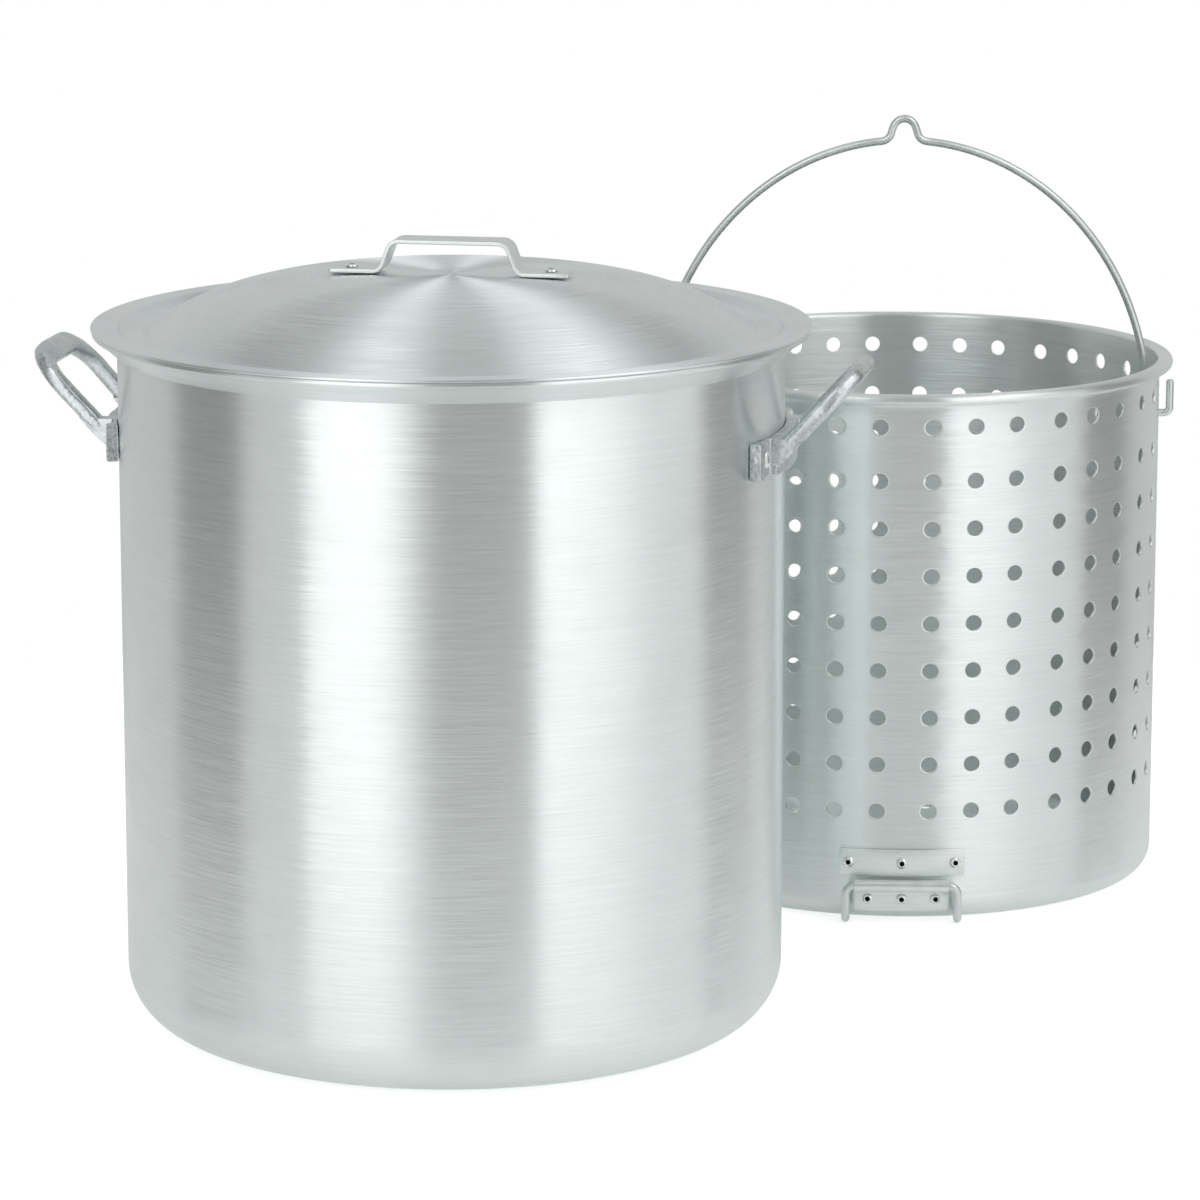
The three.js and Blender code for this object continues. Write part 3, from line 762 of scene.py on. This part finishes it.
def lid_strap():
    """Flat strap bent up into a grip, with two shallow grooves along its top face."""
    mid = STRAP_Z + STRAP_T / 2
    top = mid + STRAP_RISE
    foot = arc(STRAP_FOOT_BEND_X, mid + STRAP_FOOT_BEND, STRAP_FOOT_BEND, -90, -180 + STRAP_LEAN, 12)
    grip = arc(STRAP_GRIP_BEND_X, top - STRAP_GRIP_BEND, STRAP_GRIP_BEND, STRAP_LEAN, 90, 12)
    lie = [(STRAP_FOOT_END - d, mid) for d in (0.0, 0.7, 2.0, 12.0, 22.0)]
    half = lie + foot + grip + [(x, top) for x in (24.0, 12.0)]
    line = half + [(0.0, top)] + [(-x, z) for x, z in half[::-1]]
    last = len(line) - 1

    def section(i):
        end = min(i, last - i)
        inset = (0.9, 0.25)[end] if end < 2 else 0.0
        w, t, r = STRAP_W - 2 * inset, STRAP_T - 1.2 * inset, 0.7
        top_face = []
        for u in np.linspace(w / 2 - r, r - w / 2, 33):
            dip = STRAP_RIB * math.exp(-(((abs(u) - STRAP_RIB_AT) / 1.1) ** 2))
            top_face.append((u, t / 2 - dip))
        left = arc(r - w / 2, t / 2 - r, r, 90, 180, 4)[1:] + arc(r - w / 2, r - t / 2, r, 180, 270, 4)
        right = arc(w / 2 - r, r - t / 2, r, 270, 360, 4) + arc(w / 2 - r, t / 2 - r, r, 0, 90, 4)[:-1]
        return top_face + left + right

    return swept([(x, 0, z) for x, z in line], section, (0, 0, 1))


strap = lid_strap().object("lid_strap")
finish_piece(strap, "lid", ["lid_strap_handle"], PLATE_METAL, 40)


def lid_rivet():
    """Blind rivet through the strap and the crown, about +Z."""
    shank = 3.0
    over, under = STRAP_Z + STRAP_T + GAP, dome_top(STRAP_RIVET_X) - LID_SHEET - GAP - 0.2
    set_end = [(0, under - 2.2), (2.0, under - 2.1), (4.2, under - 1.7), (5.2, under - 0.8), (5.2, under)]
    return turned(set_end + [(shank, under), (shank, over)] + hollow_head(over, 4.9, 2.0, HOLLOW_R), 40)


for side, s in (("left", -1), ("right", 1)):
    piece = lid_rivet().object(f"rivet_lid_{side}")
    place = Matrix.Translation((s * STRAP_RIVET_X * MM, 0, 0))
    finish_piece(piece, "lid", [f"lid_rivet_{side}"], RIVET_METAL, 40, place)
    # painted shade inside the rivet's hollow
    paint_bore_shade(piece, HOLLOW_R + 0.35)


# ---- basket ---------------------------------------------------------------------------------
PER_HOLE = 6  # points along each level side of a wall cell
COLUMNS = 3 * HOLE_GROUPS
AROUND = COLUMNS * PER_HOLE


def hole_edges():
    """Angles from the front where one column's cell ends and the next begins."""
    group = 360 / HOLE_GROUPS
    out = []
    for g in range(HOLE_GROUPS):
        middle = (g + 0.5) * group
        out += [g * group, middle - HOLE_STEP_DEG / 2, middle + HOLE_STEP_DEG / 2]
    return out + [360.0]


HOLE_EDGES = hole_edges()
WALL_DEG = [
    left + (right - left) * k / PER_HOLE
    for left, right in zip(HOLE_EDGES, HOLE_EDGES[1:])
    for k in range(PER_HOLE)
]
WALL_ANGLE = np.radians(np.array(WALL_DEG) - 90)
BASE_ANGLE = np.radians(np.arange(AROUND) * 360 / AROUND - 90)
INNER_R = BASKET_R - BASKET_SHEET


def punched_wall(shape, low_z, high_z):
    """The wall's grid of round holes with softly broken edges."""
    rows_z = [HOLE_TOP_Z] + [HOLE_TOP_Z - HOLE_FIRST_STEP - HOLE_ROW_STEP * i for i in range(HOLE_ROWS - 1)]
    edges_z = [high_z] + [(a + b) / 2 for a, b in zip(rows_z, rows_z[1:])] + [low_z]
    steps = 4 * PER_HOLE
    turns = [-math.pi * 3 / 4 + 2 * math.pi * i / steps for i in range(steps)]
    for j in range(COLUMNS):
        left, right = HOLE_EDGES[j], HOLE_EDGES[j + 1]
        group, column = divmod(j, 3)
        centre = (group + 0.5) * 360 / HOLE_GROUPS + (column - 1) * HOLE_STEP_DEG
        for z, top, bottom in zip(rows_z, edges_z, edges_z[1:]):
            t = np.arange(PER_HOLE) / PER_HOLE
            border = [(left + (right - left) * q, bottom) for q in t]
            border += [(right, bottom + (top - bottom) * q) for q in t]
            border += [(right + (left - right) * q, top) for q in t]
            border += [(left, top + (bottom - top) * q) for q in t]

            def on_border(r):
                around = [(math.radians(deg - 90), h) for deg, h in border]
                return [(r * math.cos(a), r * math.sin(a), h) for a, h in around]

            def on_ring(r, hole):
                out = []
                for a in turns:
                    angle = math.radians(centre - 90) + hole * math.cos(a) / BASKET_R
                    out.append((r * math.cos(angle), r * math.sin(angle), z + hole * math.sin(a)))
                return out

            shape.grid(
                [
                    on_border(BASKET_R),
                    on_ring(BASKET_R, HOLE_R + 1.5),
                    on_ring(BASKET_R, HOLE_R + 0.45),
                    on_ring(BASKET_R - 0.12, HOLE_R + 0.15),
                    on_ring(BASKET_R - 0.4, HOLE_R),
                    on_ring(INNER_R + 0.3, HOLE_R),
                    on_ring(INNER_R, HOLE_R + 0.25),
                    on_ring(INNER_R, HOLE_R + 1.5),
                    on_border(INNER_R),
                ]
            )


def punched_base(shape, edges_r):
    """The base's rings of drain holes, between the radii in edges_r."""
    for (radius, count), r0, r1 in zip(BASE_RINGS, edges_r, edges_r[1:]):
        span = AROUND // count
        for i in range(count):
            first = round((i * 360 / count + 90) / 360 * AROUND) - span // 2
            ks = [(first + k) % AROUND for k in range(span + 1)]
            outer = [(r1 * math.cos(BASE_ANGLE[k]), r1 * math.sin(BASE_ANGLE[k])) for k in ks]
            inner = [(r0 * math.cos(BASE_ANGLE[k]), r0 * math.sin(BASE_ANGLE[k])) for k in ks[::-1]]
            border = outer + inner
            at = math.radians(i * 360 / count)
            cx, cy = radius * math.cos(at), radius * math.sin(at)
            ways = [math.atan2(y - cy, x - cx) for x, y in border]

            def on_ring(hole, z):
                return [(cx + hole * math.cos(a), cy + hole * math.sin(a), z) for a in ways]

            shape.grid(
                [
                    [(x, y, 0.0) for x, y in border],
                    on_ring(HOLE_R + 0.4, 0.0),
                    on_ring(HOLE_R, 0.35),
                    on_ring(HOLE_R, BASKET_SHEET - 0.35),
                    on_ring(HOLE_R + 0.4, BASKET_SHEET),
                    [(x, y, BASKET_SHEET) for x, y in border],
                ]
            )


def basket_wall():
    """Punched wall and base, the bend between them, and the rolled bead and lip at the top."""
    shape = Shape()
    low_z = HOLE_TOP_Z - HOLE_FIRST_STEP - HOLE_ROW_STEP * (HOLE_ROWS - 1.5)
    high_z = HOLE_TOP_Z + 12.0
    punched_wall(shape, low_z, high_z)

    bead = (BASKET_R + 2.8 + BEAD_R, BASKET_H - BEAD_R)
    roll = arc(*bead, BEAD_R, -125, 90, 22)
    neck = smooth_through(
        [(BASKET_R, high_z), (BASKET_R, bead[1] - 7), (BASKET_R + 1.2, bead[1] - 4.6), roll[0]], 4
    )
    lip = arc(INNER_R + 3, BASKET_H - 3, 3, 90, 180, 8)
    profile = neck[:-1] + roll + lip + [(INNER_R, high_z)]
    shape.grid([ring_points(r, z, WALL_ANGLE) for r, z in profile])

    edges_r = (34.0, 86.0, 138.0, 190.0)
    skins = ((BASKET_R, BASKET_CORNER, 0.0), (INNER_R, BASKET_CORNER - BASKET_SHEET, BASKET_SHEET))
    for r_wall, corner, floor in skins:
        bend = arc(BASKET_R - BASKET_CORNER, BASKET_CORNER, corner, 0, -90, 12)
        rows = [ring_points(r_wall, z, WALL_ANGLE) for z in (low_z, 45.0)]
        for i, (r, z) in enumerate(bend):
            share = i / (len(bend) - 1)
            rows.append(ring_points(r, z, WALL_ANGLE * (1 - share) + BASE_ANGLE * share))
        rows.append(ring_points(edges_r[-1], floor, BASE_ANGLE))
        shape.grid(rows)
        shape.grid([ring_points(r, floor, BASE_ANGLE) for r in (edges_r[0], 12.0, 0.0)])
    punched_base(shape, edges_r)
    return shape


basket = basket_wall().object("basket_wall", merge=6e-6)
basket.data.transform(BASKET_PLACE.to_3x3().to_4x4())
finish_piece(
    basket, "basket", ["basket_shell"], BASKET_METAL, 35, Matrix.Translation(BASKET_AXIS)
)


def wall_y(x, r):
    """How far in front of the axis a wall of radius r is, a distance x to the side."""
    return -math.sqrt(r * r - x * x)


def stop_plate():
    """Curved sheet on the wall with rounded corners."""
    shape = Shape()
    r0 = BASKET_R + GAP
    corner = 2.0
    middle = np.linspace(1 - STOP_HALF_W, STOP_HALF_W - 1, 40)
    rows = []
    for x in (-STOP_HALF_W, 0.3 - STOP_HALF_W, *middle, STOP_HALF_W - 0.3, STOP_HALF_W):
        over = max(abs(x) - (STOP_HALF_W - corner), 0.0)
        inset = corner - math.sqrt(max(corner**2 - over**2, 0.0))
        thick = BRACKET_SHEET - (0.5 if abs(x) > STOP_HALF_W - 0.1 else 0.0)
        h = STOP_Z[1] - STOP_Z[0] - 2 * inset
        outline = rounded_box_section(thick, h, 0.45, 3)
        y, mid = wall_y(x, r0 + BRACKET_SHEET / 2), sum(STOP_Z) / 2
        rows.append([(x, y + u, mid + v) for u, v in outline])
    shape.grid(rows)
    shape.cap(rows[0])
    shape.cap(rows[-1][::-1])
    return shape


def hinge_plate():
    """Sheet on the wall whose upper edge is rolled forward round the hook's wire."""
    shape = Shape()
    half_t = BRACKET_SHEET / 2
    roll = BARREL_R - half_t
    yb, zb = HOOK_AXIS
    rows = []
    for x in np.linspace(-HINGE_HALF_W, HINGE_HALF_W, 33):
        yw = wall_y(x, BASKET_R + GAP + half_t)
        line = [(yw, z) for z in np.linspace(HINGE_BOTTOM, 20, 6)]
        for z in np.linspace(20, zb, 12)[1:]:
            line.append((yw + (yb + roll - yw) * smoothstep((z - 20) / (zb - 20)), z))
        line += arc(yb, zb, roll, 0, 296, 36)[1:]
        pts = np.array(line)
        ahead = np.gradient(pts, axis=0)
        ahead /= np.linalg.norm(ahead, axis=1)[:, None]
        out = np.c_[-ahead[:, 1], ahead[:, 0]]
        edge = np.full(len(pts), half_t)
        edge[[0, -1]] = half_t * 0.55
        left, right = pts + out * edge[:, None], pts - out * edge[:, None]
        rows.append([(x, y, z) for y, z in np.vstack([left, right[::-1]])])
    shape.grid(rows)
    for row, back in ((rows[0], False), (rows[-1], True)):
        n = len(row) // 2
        strip = [row[:n], row[:n - 1:-1]]
        shape.grid(strip, close_u=False, flip=back)
    return shape


def bail_path():
    """From one upturned tip in through the wall's hole, up the arch, over the hump and back down."""
    b = BAIL_BEND
    half = [(BAIL_TIP[0], z) for z in np.linspace(BAIL_TIP[1], BAIL_PIVOT_Z + b + 3, 4)]
    half += arc(BAIL_TIP[0] - b, BAIL_PIVOT_Z + b, b, 0, -90, 10)
    half += [(x, BAIL_PIVOT_Z) for x in np.linspace(BAIL_TIP[0] - b, BAIL_HALF_W + b, 5)[1:-1]]
    half += arc(BAIL_HALF_W + b, BAIL_PIVOT_Z + b, b, -90, -180, 10)
    for t in np.radians(np.linspace(3, 85, 56)):
        half.append((BAIL_HALF_W * math.cos(t), BAIL_PIVOT_Z + BAIL_RISE * math.sin(t)))
    hump = smooth_through(
        [half[-1], (14.5, 607.6), (11.6, 610.6), (10.2, 615), (8.2, 620), (4.6, 623.6), (0, 624.9)], 5
    )
    half += hump[1:-1]
    line = half + [(0.0, 624.9)] + [(-x, z) for x, z in half[::-1]]
    return [(x, 0.0, z) for x, z in line]


def hook_path():
    """From one toe under the base, down and up the leg, through the barrel to the other toe."""
    y, z = HOOK_AXIS
    bend, toe = 7.0, 5.0
    half = [(HOOK_HALF_W, HOOK_TOE_Y - d, HOOK_FOOT_Z) for d in (0.0, 4.0)]
    half += [(HOOK_HALF_W, u, v) for u, v in arc(y + toe, HOOK_FOOT_Z + toe, toe, -90, -180, 10)]
    half += [(HOOK_HALF_W, y, h) for h in np.linspace(HOOK_FOOT_Z + toe, z - bend, 5)[1:-1]]
    half += [(u, y, v) for u, v in arc(HOOK_HALF_W - bend, z - bend, bend, 0, 90, 12)]
    line = half + [(x, y, z) for x in np.linspace(HOOK_HALF_W - bend, bend - HOOK_HALF_W, 6)[1:-1]]
    return line + [(-x, v, w) for x, v, w in half[::-1]]


def blind_rivet():
    """Blind rivet about +Z as the outward radius: flanged, hollow head, and a set end inside."""
    shank = 2.0
    face = BASKET_R + GAP + BRACKET_SHEET + GAP
    wall = BASKET_R - BASKET_SHEET
    set_end = [(0, wall - 4.4), (2.0, wall - 4.3), (3.0, wall - 3.2), (3.2, wall - 1.6), (shank, wall - 0.5)]
    return turned(set_end + [(shank, face)] + hollow_head(face, 4.4, 1.8, HOLLOW_R), 40)


stop = stop_plate().object("stop_plate")
finish_piece(stop, "basket", ["hook_stop_plate"], PLATE_METAL, 40, BASKET_PLACE)
hinge = hinge_plate().object("hinge_plate")
finish_piece(hinge, "basket", ["hook_hinge_plate"], PLATE_METAL, 40, BASKET_PLACE)
for row, xs, z in (("stop", STOP_RIVET_X, sum(STOP_Z) / 2), ("hinge", HINGE_RIVET_X, HINGE_RIVET_Z)):
    for i, x in enumerate(xs, 1):
        piece = blind_rivet().object(f"blind_rivet_{row}_{i}")
        place = BASKET_PLACE @ radial_place(math.degrees(math.asin(x / BASKET_R)) - 90, z)
        finish_piece(piece, "basket", [f"{row}_plate_rivet_{i}"], RIVET_METAL, 40, place)
        # painted shade inside the rivet's hollow
        paint_bore_shade(piece, HOLLOW_R + 0.35)

bail = round_wire(bail_path(), WIRE_R, 20).object("bail")
finish_piece(bail, "bail", ["bail_wire"], WIRE_METAL, 50, BASKET_PLACE)
hook = round_wire(hook_path(), HOOK_WIRE_R, 20).object("drain_hook")
finish_piece(hook, "drain_hook", ["drain_hook_wire"], WIRE_METAL, 50, BASKET_PLACE)


# ---- floor, light and camera ----------------------------------------------------------------
FLOOR_R = 1150.0
FLOOR_Z = -0.4  # just under the object, in millimetres
FLOOR_GLOW = 0.22
FLOOR_WHITE = 0.60  # the floor's glow where the camera sees it
CAMERA_AT = Vector((0.7787, -3.7840, 1.1251))
CAMERA_LOOK = Vector((-0.170, 0.964, -0.2047))
CAMERA_LENS = 158.24


def pale_floor():
    """A pale round floor, whiter to the camera than in reflections."""
    shape = Shape()
    turns = np.arange(128) * 2 * math.pi / 128
    centre = ((CAD_BOX[0] + CAD_BOX[1]) / 2) / MM
    rings = []
    for r in (0.0, FLOOR_R / 2, FLOOR_R):
        rings.append([(centre.x + r * math.cos(a), centre.y + r * math.sin(a), FLOOR_Z) for a in turns])
    shape.grid(rings)
    floor = shape.object("floor")
    material, g = new_material("pale_floor")
    place = g.node("ShaderNodeTexCoord").outputs["Object"]
    speck = g.spread(g.noise(place, 30.0, 3.0, 0.6), 0.3, 0.7, 0.97, 1.0)
    colour = g.blend(speck, (0.75, 0.75, 0.75, 1.0), (0.85, 0.85, 0.85, 1.0))
    shader = g.node("ShaderNodeBsdfPrincipled", {"Base Color": colour, "Roughness": 0.9})
    shader.inputs["Emission Color"].default_value = (1, 1, 1, 1)
    seen = g.node("ShaderNodeLightPath").outputs["Is Camera Ray"]
    g.put(shader.inputs["Emission Strength"], g.spread(seen, 0.0, 1.0, FLOOR_GLOW, FLOOR_WHITE))
    g.node("ShaderNodeOutputMaterial", {"Surface": shader})
    floor.data.materials.append(material)


def studio_camera():
    data = bpy.data.cameras.new("camera")
    data.lens = CAMERA_LENS
    data.sensor_width = 36.0
    data.clip_end = 60.0
    camera = bpy.data.objects.new("camera", data)
    camera.location = CAMERA_AT
    camera.rotation_mode = "QUATERNION"
    camera.rotation_quaternion = CAMERA_LOOK.to_track_quat("-Z", "Y")
    bpy.context.scene.collection.objects.link(camera)
    bpy.context.scene.camera = camera


# Light panels and gaps on the studio wall, in degrees to the right of the camera's side: left
# edge, its softness, right edge, its softness, strength low down, strength high up.
PANELS = (
    (-49.0, 3.0, -15.5, 27.0, 0.82, 1.5),
    (27.0, 4.0, 51.0, 42.0, 0.80, 1.0),
    (50.0, 22.0, 90.0, 7.0, 0.22, 1.5),
    (-75.0, 9.0, -49.0, 4.0, 0.10, -0.1),
    (-104.0, 11.0, -73.5, 6.0, -0.30, -0.36),
    (-12.0, 16.0, 27.0, 5.0, -0.20, -0.16),
    (92.0, 6.0, 118.0, 12.0, -0.26, -0.3),
)
WALL_LIGHT = 0.56
BACK_LIGHT = 0.03  # added behind the object
BACK_FROM = (108.0, 134.0)  # degrees from the camera's side, where that starts and is whole
SKY_LIGHT = 0.62
STUDIO_R = 2.5  # metres, like the heights below
STUDIO_Z = (-1.5, 4.6)
HIGH_UP = (1.7, 2.6)  # where the wall's light changes from low down to high up


def studio_wall():
    """A round wall of light outside the frame: even grey with tall soft panels and gaps.

    The camera looks through it."""
    shape = Shape()
    turns = np.arange(96) * 2 * math.pi / 96
    shape.grid([ring_points(STUDIO_R / MM, z / MM, turns) for z in STUDIO_Z])
    wall = shape.object("studio_wall")
    wall.visible_camera = False
    wall.visible_shadow = False
    material, g = new_material("studio_wall")
    place = g.node("ShaderNodeNewGeometry").outputs["Position"]
    x, y, z = g.node("ShaderNodeSeparateXYZ", {0: place}).outputs
    front = math.atan2(CAMERA_AT.x, -CAMERA_AT.y)
    side = g.math("ADD", g.math("MULTIPLY", x, math.cos(front)), g.math("MULTIPLY", y, math.sin(front)))
    near = g.math("SUBTRACT", g.math("MULTIPLY", x, math.sin(front)), g.math("MULTIPLY", y, math.cos(front)))
    angle = g.math("MULTIPLY", g.math("ARCTAN2", side, near), 180 / math.pi)
    high = g.spread(z, *HIGH_UP)

    def edge(at, soft):
        made = g.node(
            "ShaderNodeMapRange",
            {"Value": angle, "From Min": at - soft / 2, "From Max": at + soft / 2},
            interpolation_type="SMOOTHSTEP",
        )
        return made.outputs[0]

    behind = g.spread(g.math("ABSOLUTE", angle), *BACK_FROM)
    total = g.math("MULTIPLY_ADD", behind, BACK_LIGHT, WALL_LIGHT)
    for left, left_soft, right, right_soft, low, top in PANELS:
        panel = g.math("SUBTRACT", edge(left, left_soft), edge(right, right_soft))
        total = g.math("MULTIPLY_ADD", panel, g.math("MULTIPLY_ADD", high, top - low, low), total)
    glow = g.node("ShaderNodeEmission", {"Color": (1.0, 1.0, 1.0, 1.0), "Strength": total})
    g.node("ShaderNodeOutputMaterial", {"Surface": glow})
    wall.data.materials.append(material)


def studio_sky():
    """Even light above and below the wall, and plain white where the camera looks."""
    world = bpy.data.worlds.new("studio")
    bpy.context.scene.world = world
    world.use_nodes = True
    g = Graph(world.node_tree)
    room = g.node("ShaderNodeBackground", {"Color": (1.0, 1.0, 1.0, 1.0), "Strength": SKY_LIGHT})
    white = g.node("ShaderNodeBackground", {"Color": (1.0, 1.0, 1.0, 1.0), "Strength": 1.0})
    seen = g.node("ShaderNodeLightPath").outputs["Is Camera Ray"]
    mixed = g.node("ShaderNodeMixShader", {0: seen, 1: room, 2: white})
    g.node("ShaderNodeOutputWorld", {"Surface": mixed})


pale_floor()
studio_camera()
studio_wall()
studio_sky()
bpy.context.scene.view_settings.view_transform = "Standard"
